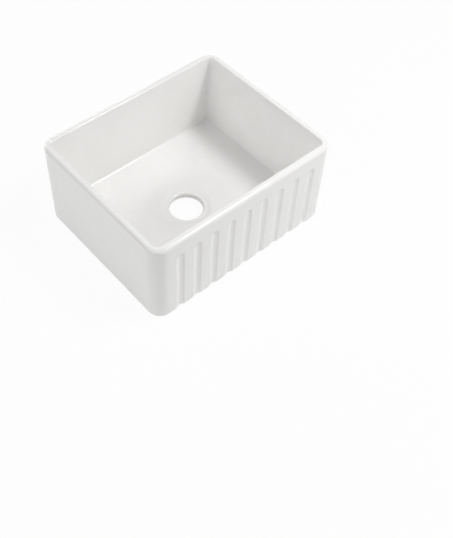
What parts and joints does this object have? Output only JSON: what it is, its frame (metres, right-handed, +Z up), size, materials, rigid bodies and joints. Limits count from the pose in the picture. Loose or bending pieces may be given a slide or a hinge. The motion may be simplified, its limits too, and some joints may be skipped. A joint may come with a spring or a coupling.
{
  "type": "farmhouse apron front sink",
  "caption": "Single-bowl farmhouse kitchen sink in glazed fireclay, with a fluted apron front, plain sides and back, a sloped floor and a recessed strainer seat.",
  "frame": {"origin": "middle of the footprint, on the surface that the sink's foot stands on", "axes": "+X to the right seen from the front, -Y out of the fluted apron, +Z up"},
  "size_m": [0.55, 0.455, 0.254],
  "materials": {
    "glazed_fireclay": "off-white gloss glaze over fireclay, bare and matt on the foot that the sink stands on"
  },
  "bodies": {
    "root": {"sink_body": "glazed_fireclay"}
  },
  "joints": []
}
